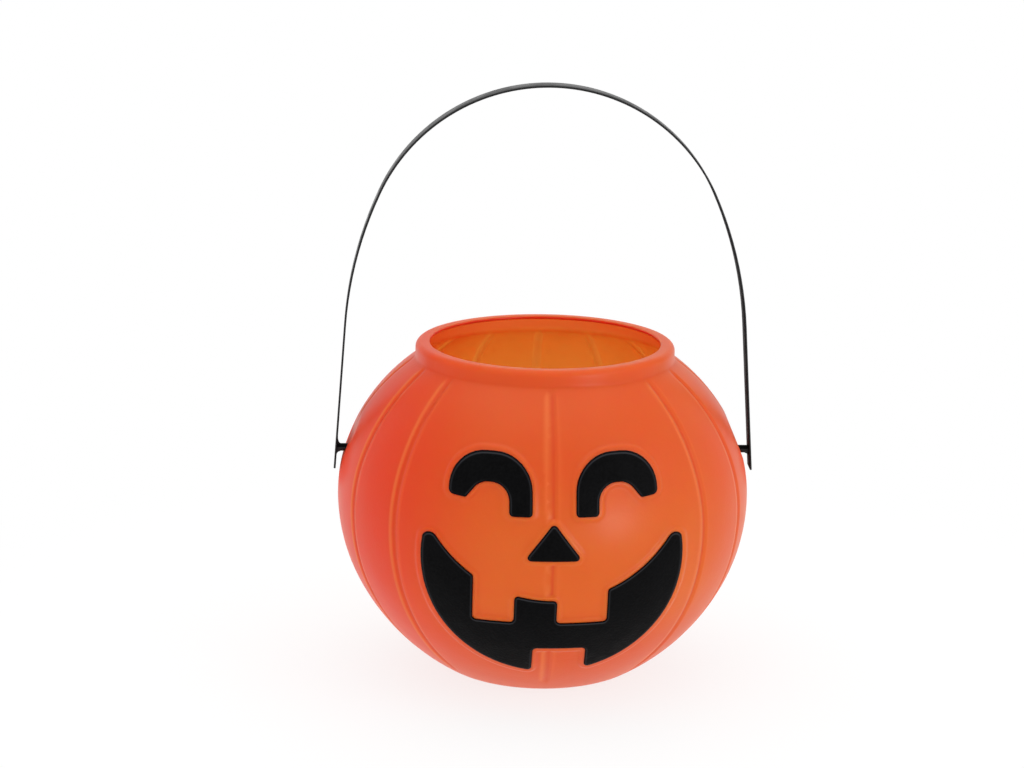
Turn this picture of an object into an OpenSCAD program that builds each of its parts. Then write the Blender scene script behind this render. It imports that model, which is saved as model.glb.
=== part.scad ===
// Pumpkin candy pail: a thin moulded pumpkin with a raised jack-o'-lantern face and a snap-in strap handle.
// Millimetres, +Z up. The pail stands on Z = 0, its face looks along -Y and the handle turns about X.

/* [Pumpkin shell] */
// Widest diameter of the pail
body_d = 160; // [130:1:200]
// Thickness of the moulded wall
wall = 1.4; // [1:0.1:1.8]
// Curve radius of the side just above its widest line
flank_r = 58.5; // [54:0.5:62]
// Degrees that the side turns before the shoulder begins
flank_turn = 20; // [16:1:24]
// Curve radius of the shoulder
shoulder_r = 70.3; // [66:0.5:84]
// Curve radius of the side just below its widest line
side_r = 72.2; // [66:0.5:80]
// Degrees that the lower side turns before the belly begins
side_turn = 27.5; // [22:0.5:32]
// Curve radius of the belly
belly_r = 86.7; // [80:0.5:94]
// Degrees that the belly turns before the heel begins
belly_turn = 31.5; // [26:0.5:34]
// Curve radius of the heel, which rolls under to the base
heel_r = 18; // [14:0.5:24]

/* [Mouth of the pail] */
// Outer diameter of the collar
collar_d = 100.2; // [84:0.1:124]
// Width of the lip, from the collar's outside in to the opening
lip_w = 5.5; // [4.5:0.1:8]
// Height of the collar above the shoulder
collar_h = 6.2; // [5:0.1:10]
// Radius that rounds the collar over to its lip
collar_round = 2.4; // [2:0.1:5]

/* [Base] */
// Width of the flat ring that the pail stands on
foot_ring_w = 7; // [4:0.5:10]
// Depth of the push-up
push_up_h = 1.6; // [1:0.1:3]
// How much narrower the push-up is at its top, on each side
push_up_draft = 1.2; // [0.5:0.1:3]

/* [Grooves] */
// Width of a pumpkin groove at the surface
groove_w = 3; // [2:0.1:4]
// Depth of a pumpkin groove
groove_depth = 0.6; // [0.3:0.1:1]
// Degrees from the front of the grooves either side of the face
face_groove = 46.7; // [44:0.1:49]
// Degrees from the front of the next grooves
next_groove = 67.1; // [62:0.1:72]
// Degrees between the grooves round the back
back_pitch = 22.5; // [22.5, 30, 45]
// Gap between the collar and the top of a groove
groove_top_gap = 1; // [0.5:0.1:4]
// Height above the table where a groove runs out
groove_end_h = 6; // [4:0.5:20]

/* [Raised face] */
// Height of the orange relief above the shell
relief_h = 0.7; // [0.4:0.1:1]
// How far the orange relief reaches past the black, all round
relief_margin = 1.6; // [1.5:0.1:2]
// Thickness of the black layer on the relief
black_t = 0.8; // [0.4:0.1:1]
// Depth of the seat that the black layer lies in
black_seat = 0.2; // [0.1:0.05:0.3]

/* [Eyes] */
// Distance of an eye's inner edge from the middle line
eye_inset = 8; // [7:0.1:12]
// Width of an eye
eye_w = 30.5; // [26:0.1:33]
// Height of an eye
eye_h = 22; // [19:0.1:24]
// Height of an eye's foot above the table
eye_base_h = 82.6; // [80:0.1:86]
// Sideways shift of both eyes
eye_shift = 0.4; // [-1:0.1:1]

/* [Nose] */
// Width of the nose at its base, before its corners are rounded
nose_w = 21.9; // [17:0.1:24]
// Height of the nose
nose_h = 14.6; // [11:0.1:16]
// Height of the nose's base above the table
nose_base_h = 66.2; // [62:0.1:70]
// Sideways offset of the nose's middle
nose_x = 0.3; // [-1:0.1:1]

/* [Mouth of the face] */
// Curve radius of the lower edge of the smile
smile_r = 48.8; // [46:0.1:58.6]
// Height of that curve's centre above the table
smile_centre_h = 64.6; // [60:0.1:68]
// Curve radius of the upper edge of the smile
smile_top_r = 53; // [50:0.1:60]
// Distance between the centres of those two curves
smile_rise = 38.6; // [36:0.1:42]
// Sideways shift of both curves
smile_x = 0.5; // [-1:0.1:1]
// Radius that rounds the tips of the smile
tip_round = 2.9; // [1.5:0.1:3.2]
// Left and right edge of the left upper tooth
left_tooth = [-29, -13.8]; // [-40:0.1:40]
// Left and right edge of the right upper tooth
right_tooth = [2.1, 20.9]; // [-40:0.1:40]
// Depth of the upper teeth's tips below the centre of the lower curve
upper_tooth_drop = 24.2; // [20:0.1:28]
// Left and right edge of the lower tooth
lower_tooth = [-6.2, 13.6]; // [-40:0.1:40]
// Depth of the lower tooth's tip below the same centre
lower_tooth_drop = 36.4; // [32:0.1:40]
// Corner radius of the face's cut corners
corner_r = 1.6; // [1.2:0.1:2]

/* [Handle] */
// Height of the handle's pivot above the table
pivot_h = 87.7; // [73:0.1:92]
// Thickness of the strap
strap_t = 0.8; // [0.7:0.1:1.5]
// Width of the strap
strap_w = 9; // [6:0.5:14]
// Gap between the strap and the shell at the pivot
stand_off = 3.4; // [3:0.1:5]
// Degrees that the legs lean inwards
lean = 4.1; // [3:0.1:5]
// Straight length of each leg above the pivot
leg_l = 49.5; // [30:0.5:70]
// Curve radius of the leg above its straight length
bow_r = 148; // [120:1:180]
// Degrees from upright at which the crown of the arch begins
crown_start = 24.8; // [20:0.1:30]
// Length of the strap's tail below the pivot
tail_l = 7.5; // [5:0.1:8]

/* [Studs] */
// Diameter of the stud that turns in the shell
stud_d = 3; // [2.6:0.1:4]
// Free play of the stud in its hole, all round
stud_play = 0.3; // [0.2:0.05:0.5]
// How far the gusset above the left stud reaches along the strap
gusset_h = 3.1; // [2:0.1:4.5]
// How far the gusset below each stud reaches along the strap
low_gusset_h = 1.5; // [1:0.1:3]
// How far a gusset reaches along the stud
gusset_l = 1.3; // [1:0.1:2.2]
// Thickness of a gusset
gusset_t = 1; // [0.8:0.1:1.6]
// Diameter of the snap head inside the shell
head_d = 5.4; // [4.8:0.1:6]
// Length of the snap head
head_l = 3.2; // [2:0.1:4]
// Diameter at the tip of the snap head
head_tip_d = 2.4; // [2:0.1:2.6]
// Gap between the shell and the snap head
head_gap = 0.4; // [0.3:0.1:1]
// Width of the split in the snap head
split_w = 0.8; // [0.5:0.1:1.2]

/* [Stud seats] */
// Height of a seat's middle above the pivot
seat_rise = 5.9; // [0:0.1:8]
// Depth of a seat at its middle
seat_depth = 0.7; // [0.4:0.1:1]

/* [Hidden] */
$fn = 96;

// Reach of a cut past what it cuts
overrun = 2;
// Degrees between the points of an arc in the face's outlines
arc_step = 6;
// Steps in which a rounded corner turns
corner_steps = 4;
// Degrees that the profile turns from one of its bands to the next, at most
band_turn = 7;
// Degrees that the strap turns from one of its bands to the next, at most
strap_turn = 2.5;
// How near to the smile's tips its curves keep points, as a share of the reach of the tips' rounding
tip_keep_share = 1.1;
// Height of an eye as a share of its width, at which its curves take their full radius
eye_aspect_share = 0.72;

body_r = body_d / 2;
orange = [0.87, 0.37, 0.13];
black = [0.07, 0.07, 0.08];

function backwards(p) = [for (i = [len(p) - 1:-1:0]) p[i]];

// A point on a circle, and the centre of the next arc, which meets this one without a kink.
function on(c, r, a) = [c[0] + r * cos(a), c[1] + r * sin(a)];
function next_centre(c, r, next_r, a) = on(c, r - next_r, a);

// Arc centres of the shell's profile, with heights counted from the widest line.
side_c = [body_r - side_r, 0];
belly_c = next_centre(side_c, side_r, belly_r, -side_turn);
heel_c = next_centre(belly_c, belly_r, heel_r, -side_turn - belly_turn);
flank_c = [body_r - flank_r, 0];
shoulder_c = next_centre(flank_c, flank_r, shoulder_r, flank_turn);
collar_r = collar_d / 2;
shoulder_end = acos((collar_r - shoulder_c[0]) / shoulder_r);
widest_h = heel_r - heel_c[1];

// The profile as arcs from the base up: centre, radius, first and last angle.
up = [0, widest_h];
arcs = [
    [heel_c + up, heel_r, -90, -side_turn - belly_turn],
    [belly_c + up, belly_r, -side_turn - belly_turn, -side_turn],
    [side_c + up, side_r, -side_turn, 0],
    [flank_c + up, flank_r, 0, flank_turn],
    [shoulder_c + up, shoulder_r, flank_turn, shoulder_end],
];

// Every angle at which the profile has a point, and the point there, grown by a margin.
function steps_of(k) = max(2, ceil((k[3] - k[2]) / band_turn));
band_angles = concat(
    [for (k = arcs) for (i = [0:steps_of(k) - 1]) k[2] + (k[3] - k[2]) * i / steps_of(k)],
    [shoulder_end]
);
function arc_at(a) = [for (k = arcs) if (a <= k[3]) k][0];
function skin_point(a, grow) = on(arc_at(a)[0], arc_at(a)[1] + grow, a);
collar_foot_h = skin_point(shoulder_end, 0)[1];
rim_h = collar_foot_h + collar_h;

// The angle at which the profile reaches a height.
function top_of(k) = on(k[0], k[1], k[3])[1];
function arc_at_height(h) = [for (k = arcs) if (h <= top_of(k)) k][0];
function angle_at(h) = asin((h - arc_at_height(h)[0][1]) / arc_at_height(h)[1]);

// Each stud seat is square to the shell at its middle, and leans inwards with it.
seat_h = pivot_h + seat_rise;
seat_lean = angle_at(seat_h);
seat_x = skin_point(seat_lean, -seat_depth)[0];
seat_z = skin_point(seat_lean, -seat_depth)[1];
// Outer face of the shell where the stud goes through it.
pivot_x = min(seat_x + (seat_z - pivot_h) * tan(seat_lean), skin_point(angle_at(pivot_h), 0)[0]);
// Middle of the strap's thickness at the pivot.
strap_x = pivot_x + stand_off + strap_t / 2;

// Half of the shell's section, filled solid and grown by a margin.
module section(grow) {
    side = [for (a = band_angles) skin_point(a, grow)];
    polygon(concat([[0, side[0][1]]], side, [[0, side[len(side) - 1][1]]]));
}

// Half of the collar's section, filled solid, with its upper edge rounded over to the lip.
module collar_section(grow) {
    r = collar_r + grow;
    top = rim_h + grow;
    round_r = collar_round + grow;
    foot = collar_foot_h - wall - overrun;
    translate([0, foot])
        square([r, top - round_r - foot]);
    translate([0, foot])
        square([r - round_r, top - foot]);
    translate([r - round_r, top - round_r])
        circle(round_r);
}

module pumpkin(grow) {
    rotate_extrude()
        section(grow);
}

module collar(grow) {
    rotate_extrude()
        collar_section(grow);
}

// Profile angles at which a groove begins, above the base, and ends, below the collar.
groove_foot = angle_at(groove_end_h);
groove_head = angle_at(collar_foot_h - groove_top_gap);
groove_angles = concat(
    [groove_foot],
    [for (a = band_angles) if (a > groove_foot && a < groove_head) a],
    [groove_head]
);

// A bar that follows the side of the shell at one turn, between two margins of the surface.
module side_bar(turn, bar_w, low, high) {
    last = len(groove_angles) - 1;
    outer = [for (a = groove_angles) skin_point(a, high)];
    inner = [for (i = [last:-1:0]) skin_point(groove_angles[i], low)];
    rotate(turn - 90)
        translate([0, bar_w / 2, 0])
            rotate([90, 0, 0])
                linear_extrude(bar_w)
                    polygon(concat(outer, inner));
}

// Degrees of all grooves, counted from the front, which looks along -Y.
side_grooves = [face_groove, next_groove];
back_grooves = [for (a = [90:back_pitch:270]) a];
groove_turns = concat([0], side_grooves, -side_grooves, back_grooves);

// Each groove has a narrow deep bed inside a wide shallow one.
module grooves() {
    for (t = groove_turns) {
        side_bar(t, groove_w, -groove_depth / 2, overrun);
        side_bar(t, groove_w / 2, -groove_depth, overrun);
    }
}

// The ridge inside the shell behind each groove.
module ridges() {
    for (t = groove_turns)
        side_bar(t, groove_w / 2 + wall, -groove_depth - wall, overrun);
}

// Keeps what lies inside the flat of both stud seats, moved by a margin.
module seat_cuts(grow) {
    for (side = [0, 180])
        rotate(side)
            translate([seat_x, 0, seat_z])
                rotate([0, -seat_lean, 0])
                    translate([grow, -body_r, -body_r])
                        cube([body_r, body_d, body_d]);
}

// Corners of an outline moved outwards by a margin. Outlines run clockwise.
function unit(v) = v / norm(v);
function left_of(v) = [-v[1], v[0]];
function flat(p) = [p[0], p[1]];
function edge(p, i) = unit(flat(p[(i + 1) % len(p)]) - flat(p[i]));
function turn_at(p, i) = cross(edge(p, (i + len(p) - 1) % len(p)), edge(p, i));
function corner_move(n1, n2) = (n1 + n2) / (1 + n1 * n2);
function grown(p, grow) = [
    for (i = [0:len(p) - 1])
        let (n1 = left_of(edge(p, (i + len(p) - 1) % len(p))))
        let (n2 = left_of(edge(p, i)))
        let (q = flat(p[i]) + grow * corner_move(n1, n2))
        let (r = p[i][2] == 0 ? 0 : p[i][2] - grow * sign(turn_at(p, i)))
        [q[0], q[1], r]
];

// An outline whose corners are rounded: each corner is [x, z, radius].
function rounded(p) = [
    for (i = [0:len(p) - 1])
        let (e1 = edge(p, (i + len(p) - 1) % len(p)))
        let (e2 = edge(p, i))
        let (q = flat(p[i]))
        let (r = p[i][2])
        let (side = sign(cross(e1, e2)))
        let (bend = acos(max(-1, min(1, e1 * e2))))
        let (c = q - e1 * r * tan(bend / 2) + side * r * left_of(e1))
        let (a0 = atan2(-side * left_of(e1)[1], -side * left_of(e1)[0]))
        let (steps = r == 0 ? 0 : max(2, corner_steps, ceil(bend / arc_step / 2)))
        for (k = [0:steps])
            r == 0 ? q : on(c, r, a0 + side * bend * k / steps)
];

// The right eye as a hook, in shares of its width and height, with corner radii as shares of its width.
eye_shares = [
    [0, 0, 0.05],
    [0, 1, 0.43],
    [1, 1, 0.46],
    [1, 0.28, 0.06],
    [0.8, 0.25, 0.04],
    [0.63, 0.53, 0.2],
    [0.28, 0.53, 0.21],
    [0.28, 0, 0.05],
];
eye_curve = min(eye_w, eye_h / eye_aspect_share);
eye_corners = [
    for (s = eye_shares)
        [eye_inset + s[0] * eye_w, eye_base_h + s[1] * eye_h, s[2] * eye_curve]
];
right_eye_corners = [for (c = eye_corners) [eye_shift + c[0], c[1], c[2]]];
left_eye_corners = [for (c = backwards(eye_corners)) [eye_shift - c[0], c[1], c[2]]];

nose_corners = [
    [nose_x, nose_base_h + nose_h, corner_r],
    [nose_x + nose_w / 2, nose_base_h, corner_r],
    [nose_x - nose_w / 2, nose_base_h, corner_r],
];

// The smile is a crescent between two circles, notched by three teeth.
smile_c = [smile_x, smile_centre_h];
smile_top_c = [smile_x, smile_centre_h + smile_rise];
upper_tooth_h = smile_centre_h - upper_tooth_drop;
lower_tooth_h = smile_centre_h - lower_tooth_drop;
tip_drop = (pow(smile_top_r, 2) - pow(smile_r, 2) + pow(smile_rise, 2)) / (2 * smile_rise);
tip_h = smile_top_c[1] - tip_drop;
half_smile = sqrt(pow(smile_top_r, 2) - pow(tip_drop, 2));
tips = [smile_x - half_smile, smile_x + half_smile];
tip_cos = (pow(smile_r, 2) + pow(smile_top_r, 2) - pow(smile_rise, 2)) / (2 * smile_r * smile_top_r);
tip_reach = tip_round / tan(acos(tip_cos) / 2);

function smile_angle(x) = -acos((x - smile_x) / smile_r);
function top_angle(x) = -acos((x - smile_x) / smile_top_r);
function from_tip(p) = min([for (x = tips) norm(p - [x, tip_h])]);
function arc_inside(c, r, a0, a1) =
    let (steps = max(2, ceil(abs(a1 - a0) / arc_step)))
    [
        for (k = [1:steps - 1])
            let (p = on(c, r, a0 + (a1 - a0) * k / steps))
            if (from_tip(p) > tip_reach * tip_keep_share) [p[0], p[1], 0]
    ];
function top_arc(x0, x1) = arc_inside(smile_top_c, smile_top_r, top_angle(x0), top_angle(x1));
function corner_on(c, r, a) = let (p = on(c, r, a)) [p[0], p[1], corner_r];
function smile_corner(x) = corner_on(smile_c, smile_r, smile_angle(x));
function top_corner(x) = corner_on(smile_top_c, smile_top_r, top_angle(x));
tip_angle = asin((tip_h - smile_centre_h) / smile_r);

smile_corners = concat(
    [[tips[0], tip_h, tip_round]],
    top_arc(tips[0], left_tooth[0]),
    [
        top_corner(left_tooth[0]),
        [left_tooth[0], upper_tooth_h, corner_r],
        [left_tooth[1], upper_tooth_h, corner_r],
        top_corner(left_tooth[1]),
    ],
    top_arc(left_tooth[1], right_tooth[0]),
    [
        top_corner(right_tooth[0]),
        [right_tooth[0], upper_tooth_h, corner_r],
        [right_tooth[1], upper_tooth_h, corner_r],
        top_corner(right_tooth[1]),
    ],
    top_arc(right_tooth[1], tips[1]),
    [[tips[1], tip_h, tip_round]],
    arc_inside(smile_c, smile_r, tip_angle, smile_angle(lower_tooth[1])),
    [
        smile_corner(lower_tooth[1]),
        [lower_tooth[1], lower_tooth_h, corner_r],
        [lower_tooth[0], lower_tooth_h, corner_r],
        smile_corner(lower_tooth[0]),
    ],
    arc_inside(smile_c, smile_r, smile_angle(lower_tooth[0]), -180 - tip_angle)
);

features = [left_eye_corners, right_eye_corners, nose_corners, smile_corners];

// A block that reaches from the front to the pail's middle, with a feature's outline grown by a margin.
module feature_block(corners, grow) {
    rotate([90, 0, 0])
        linear_extrude(body_r + overrun)
            polygon(rounded(grown(corners, grow)));
}

module relief() {
    intersection() {
        pumpkin(relief_h);
        for (f = features)
            feature_block(f, relief_margin);
    }
}

// The space behind the relief, so that the wall stays even.
module relief_back() {
    intersection() {
        pumpkin(relief_h - wall);
        for (f = features)
            feature_block(f, relief_margin - wall);
    }
}

module black_layer(corners) {
    color(black)
        intersection() {
            difference() {
                pumpkin(relief_h + black_t - black_seat);
                pumpkin(relief_h - black_seat);
            }
            feature_block(corners, 0);
        }
}

// The seats that the black layers lie in.
module black_seats() {
    difference() {
        for (f = features)
            feature_block(f, 0);
        pumpkin(relief_h - black_seat);
    }
}

// The hollow under the base, grown by a margin.
module push_up(grow) {
    r = heel_c[0] - foot_ring_w + grow;
    cylinder(r1 = r, r2 = r - push_up_draft, h = push_up_h + grow);
}

// The outer form, without its cavity.
module outer_form() {
    difference() {
        union() {
            difference() {
                pumpkin(0);
                grooves();
                seat_cuts(0);
            }
            collar(0);
            difference() {
                relief();
                black_seats();
            }
        }
        push_up(0);
    }
}

// The space inside: the outer form drawn in by one wall, with a ridge behind each groove.
module cavity() {
    difference() {
        union() {
            pumpkin(-wall);
            collar(-wall);
        }
        ridges();
        seat_cuts(-wall);
        push_up(wall);
    }
    relief_back();
    translate([0, 0, rim_h - wall - overrun])
        cylinder(r = collar_r - lip_w, h = wall + 2 * overrun);
}

module pail_body() {
    color(orange)
        difference() {
            outer_form();
            cavity();
            translate([0, 0, pivot_h])
                rotate([0, 90, 0])
                    cylinder(r = stud_d / 2 + stud_play, h = body_d + overrun, center = true);
        }
}

module left_eye() {
    black_layer(left_eye_corners);
}

module right_eye() {
    black_layer(right_eye_corners);
}

module nose() {
    black_layer(nose_corners);
}

module smile() {
    black_layer(smile_corners);
}

// Centres and ends of the strap's curves, in its own plane, from the right stud up to the crown.
leg_end = [strap_x - leg_l * sin(lean), pivot_h + leg_l * cos(lean)];
bow_c = on(leg_end, -bow_r, lean);
bow_end = on(bow_c, bow_r, crown_start);
crown_r = bow_end[0] / cos(crown_start);
crown_c = on(bow_end, -crown_r, crown_start);

// Stations on the middle of the strap, from its tail up to the top: a point, and the way outwards there.
function turns(a0, a1) =
    let (steps = ceil((a1 - a0) / strap_turn))
    [for (i = [1:steps]) a0 + (a1 - a0) * i / steps];
tail_end = [strap_x + tail_l * sin(lean), pivot_h - tail_l * cos(lean)];
strap_stations = concat(
    [[tail_end, lean], [leg_end, lean]],
    [for (a = turns(lean, crown_start)) [on(bow_c, bow_r, a), a]],
    [for (a = turns(crown_start, 90)) [on(crown_c, crown_r, a), a]]
);

// The right half of one face of the strap, upwards, and the whole face, from right to left.
function strap_half(gap) = [for (s = strap_stations) on(s[0], gap, s[1])];
function strap_face(half) = concat(
    [for (i = [0:len(half) - 2]) half[i]],
    [[0, half[len(half) - 1][1]]],
    [for (i = [len(half) - 2:-1:0]) [-half[i][0], half[i][1]]]
);

module strap() {
    outer = strap_face(strap_half(strap_t / 2));
    inner = strap_face(strap_half(-strap_t / 2));
    translate([0, strap_w / 2, 0])
        rotate([90, 0, 0])
            linear_extrude(strap_w)
                polygon(concat(outer, backwards(inner)));
}

// A hollow-sided web that braces a stud to the strap, above it (way 1) or below it (way -1).
module gusset(way, web_h) {
    reach = stud_d / 2 + web_h;
    root = strap_t / 2 + gusset_l;
    side = [
        for (i = [0:corner_steps])
            let (p = [gusset_l * cos(90 * i / corner_steps), web_h * sin(90 * i / corner_steps)])
            [p[0] - root, way * (reach - p[1])]
    ];
    translate([strap_x, gusset_t / 2, pivot_h])
        rotate([90, -lean, 0])
            linear_extrude(gusset_t)
                polygon(concat([[0, 0], [0, way * reach]], side, [[-root, 0]]));
}

// A stud with its split snap head inside the shell.
module stud() {
    head_x = pivot_x - wall / cos(seat_lean) - head_gap - head_d / 2 * tan(seat_lean);
    translate([head_x - head_l, 0, pivot_h])
        rotate([0, 90, 0])
            difference() {
                union() {
                    cylinder(d = stud_d, h = strap_x - head_x + head_l);
                    cylinder(d1 = head_tip_d, d2 = head_d, h = head_l);
                }
                translate([-head_d / 2, -split_w / 2, -overrun])
                    cube([head_d, split_w, head_l + overrun]);
            }
}

module handle() {
    color(black) {
        strap();
        for (side = [0, 1])
            mirror([side, 0, 0]) {
                stud();
                gusset(-1, low_gusset_h);
            }
        mirror([1, 0, 0])
            gusset(1, gusset_h);
    }
}

pail_body();
left_eye();
right_eye();
nose();
smile();
handle();
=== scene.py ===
# %% [markdown]
# # A pumpkin candy pail
#
# The pail is one hollow orange moulding, shaped like a pumpkin, with a raised face finished in black.
# A black strap snaps into two holes in its sides and swings over the mouth. The CAD model gives every
# size and the hinge. Here each piece gets the soft edges and the plastic that a real moulding has.

# %% Load the CAD model
from math import acos, atan2, ceil, cos, degrees, pi, radians, sin, sqrt, tan

import bmesh
import bpy
import numpy as np
from mathutils import Matrix, Quaternion, Vector


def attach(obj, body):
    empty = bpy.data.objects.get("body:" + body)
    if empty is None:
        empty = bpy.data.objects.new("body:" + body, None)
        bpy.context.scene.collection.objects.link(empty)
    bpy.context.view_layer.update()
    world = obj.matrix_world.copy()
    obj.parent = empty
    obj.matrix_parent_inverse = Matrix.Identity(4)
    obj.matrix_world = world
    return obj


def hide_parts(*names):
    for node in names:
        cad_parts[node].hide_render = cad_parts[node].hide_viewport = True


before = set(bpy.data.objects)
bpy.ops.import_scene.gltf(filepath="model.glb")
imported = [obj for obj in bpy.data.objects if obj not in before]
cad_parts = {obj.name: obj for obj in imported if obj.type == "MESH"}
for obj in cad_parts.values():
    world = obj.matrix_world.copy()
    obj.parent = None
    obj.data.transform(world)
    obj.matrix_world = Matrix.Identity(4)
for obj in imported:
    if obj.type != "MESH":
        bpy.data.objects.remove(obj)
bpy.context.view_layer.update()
MM = 0.001
print("CAD nodes:", ", ".join(sorted(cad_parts)))

# %% [markdown]
# ## The camera
#
# The camera stands 1.16 m from the pail and looks down on it by 16 degrees, with a long lens, so that
# the mouth shows as a narrow ellipse. It leans by one degree. The lens is shifted a little, which
# places the pail in the picture without tilting its sides.

# %% Camera
AIM = Vector((0, 0, 69)) * MM
CAMERA_PLACE = Vector((-59.3, -1113.5, 388.7)) * MM
CAMERA_ROLL = radians(1.05)
PICTURE = (1024, 768)
FOCAL_PIXELS = 2958
AIM_PIXEL = (542.4, 493.8)
SENSOR_WIDTH = 36


def add_camera():
    data = bpy.data.cameras.new("camera")
    data.sensor_width = SENSOR_WIDTH
    data.lens = FOCAL_PIXELS * SENSOR_WIDTH / PICTURE[0]
    data.shift_x = (PICTURE[0] / 2 - AIM_PIXEL[0]) / PICTURE[0]
    data.shift_y = (AIM_PIXEL[1] - PICTURE[1] / 2) / PICTURE[0]
    data.clip_end = 20
    camera = bpy.data.objects.new("camera", data)
    camera.location = CAMERA_PLACE
    look = (AIM - CAMERA_PLACE).to_track_quat("-Z", "Y")
    camera.rotation_mode = "QUATERNION"
    camera.rotation_quaternion = look @ Quaternion((0, 0, 1), CAMERA_ROLL)
    bpy.context.scene.collection.objects.link(camera)
    bpy.context.scene.camera = camera
    return camera


camera = add_camera()
print("lens in mm:", round(camera.data.lens, 1))

# %% [markdown]
# ## From working mesh to piece
#
# Every piece is modelled in millimetres in a bmesh, which is Blender's mesh for editing in code. This
# helper turns one into an object in metres, shades it smoothly except across real edges, hides the CAD
# node that it stands for and hangs it on the body that carries it.


# %% Piece helper
SHARP = radians(38)


def make_piece(bm, name, body, node):
    bmesh.ops.scale(bm, vec=(MM, MM, MM), verts=bm.verts)
    bmesh.ops.recalc_face_normals(bm, faces=bm.faces)
    mesh = bpy.data.meshes.new(name)
    bm.to_mesh(mesh)
    bm.free()
    mesh.shade_smooth()
    mesh.set_sharp_from_angle(angle=SHARP)
    piece = bpy.data.objects.new(name, mesh)
    bpy.context.scene.collection.objects.link(piece)
    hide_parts(node)
    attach(piece, body)
    triangles = sum(len(p.vertices) - 2 for p in mesh.polygons)
    print(name, "has", triangles, "triangles")
    return piece


# %% [markdown]
# ## The pumpkin's profile
#
# A moulded pail is round, so half of its section says almost everything about it. The section here is
# a chain of arcs that meet without a kink, from the heel that rolls under the base up to the shoulder
# below the collar. The same arcs shape the CAD model.

# %% Profile of the shell
BODY_R = 80
WALL = 1.4
HEEL_R, BELLY_R, SIDE_R, FLANK_R, SHOULDER_R = 18, 86.7, 72.2, 58.5, 70.3
SIDE_TURN, BELLY_TURN, FLANK_TURN = 27.5, 31.5, 20
COLLAR_R, COLLAR_H, COLLAR_ROUND, LIP_W = 50.1, 6.2, 2.4, 5.5
FOOT_RING_W, PUSH_UP_H, PUSH_UP_DRAFT = 7, 1.6, 1.2


def on(centre, radius, turn):
    a = radians(turn)
    return (centre[0] + radius * cos(a), centre[1] + radius * sin(a))


side_c = (BODY_R - SIDE_R, 0)
belly_c = on(side_c, SIDE_R - BELLY_R, -SIDE_TURN)
heel_c = on(belly_c, BELLY_R - HEEL_R, -SIDE_TURN - BELLY_TURN)
flank_c = (BODY_R - FLANK_R, 0)
shoulder_c = on(flank_c, FLANK_R - SHOULDER_R, FLANK_TURN)
shoulder_end = degrees(acos((COLLAR_R - shoulder_c[0]) / SHOULDER_R))
widest_h = HEEL_R - heel_c[1]


def arc(centre, radius, first, last):
    return ((centre[0], centre[1] + widest_h), radius, first, last)


ARCS = [
    arc(heel_c, HEEL_R, -90, -SIDE_TURN - BELLY_TURN),
    arc(belly_c, BELLY_R, -SIDE_TURN - BELLY_TURN, -SIDE_TURN),
    arc(side_c, SIDE_R, -SIDE_TURN, 0),
    arc(flank_c, FLANK_R, 0, FLANK_TURN),
    arc(shoulder_c, SHOULDER_R, FLANK_TURN, shoulder_end),
]
collar_foot_h = on(*ARCS[-1][:2], shoulder_end)[1]
rim_h = collar_foot_h + COLLAR_H
print("widest at", round(widest_h, 1), "mm, collar foot at", round(collar_foot_h, 1), "mm")


def skin_at(z, grow=0.0):
    """Radius of the shell, grown by a margin, and the turn of its outward direction at heights z."""
    z = np.asarray(z, float)
    radius, turn = np.zeros_like(z), np.zeros_like(z)
    for centre, r, first, last in ARCS:
        low, high = on(centre, r, first)[1], on(centre, r, last)[1]
        here = (z >= low - 1e-6) & ((z <= high + 1e-6) | (last == shoulder_end))
        a = np.arcsin(np.clip((z - centre[1]) / (r + grow), -1, 1))
        radius = np.where(here, centre[0] + (r + grow) * np.cos(a), radius)
        turn = np.where(here, a, turn)
    return radius, turn


# %% [markdown]
# ## The outlines of the face
#
# Each part of the face is a flat shape, seen straight from the front. A handful of corners gives it,
# and bevelling a corner's vertex rounds it with the radius that the cut in the real mould has. The
# smile is a crescent between two circles, notched by three teeth. Its two tips are too sharp for a
# bevel to round truly, so an arc that touches both circles closes each of them.

# %% Outlines of the face
EYE_INSET, EYE_W, EYE_H, EYE_BASE, EYE_SHIFT = 8, 30.5, 22, 82.6, 0.4
EYE_SHARES = [
    (0, 0, 0.05), (0, 1, 0.43), (1, 1, 0.46), (1, 0.28, 0.06),
    (0.8, 0.25, 0.04), (0.63, 0.53, 0.2), (0.28, 0.53, 0.21), (0.28, 0, 0.05),
]
NOSE_X, NOSE_W, NOSE_H, NOSE_BASE = 0.3, 21.9, 14.6, 66.2
SMILE_C, SMILE_R = (0.5, 64.6), 48.8
TOP_C, TOP_R = (0.5, 103.2), 53
TIP_ROUND, ARC_STEP, TIP_STEP = 2.9, 3, 12
UPPER_TEETH, UPPER_TIP = [(-29, -13.8), (2.1, 20.9)], 40.4
LOWER_TOOTH, LOWER_TIP = (-6.2, 13.6), 28.2
CORNER_R, CORNER_STEP = 1.6, 10


def arc_points(centre, radius, first, last, step=ARC_STEP):
    """Plain points along an arc, between its two ends."""
    steps = max(2, ceil(abs(last - first) / step))
    return [(*on(centre, radius, first + (last - first) * k / steps), 0) for k in range(1, steps)]


def turn_at(centre, radius, x):
    """Turn at which the lower half of a circle passes a sideways place."""
    return -degrees(acos((x - centre[0]) / radius))


def tooth(centre, radius, x0, x1, tip):
    ends = [(*on(centre, radius, turn_at(centre, radius, x)), CORNER_R) for x in (x0, x1)]
    return [ends[0], (x0, tip, CORNER_R), (x1, tip, CORNER_R), ends[1]]


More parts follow.
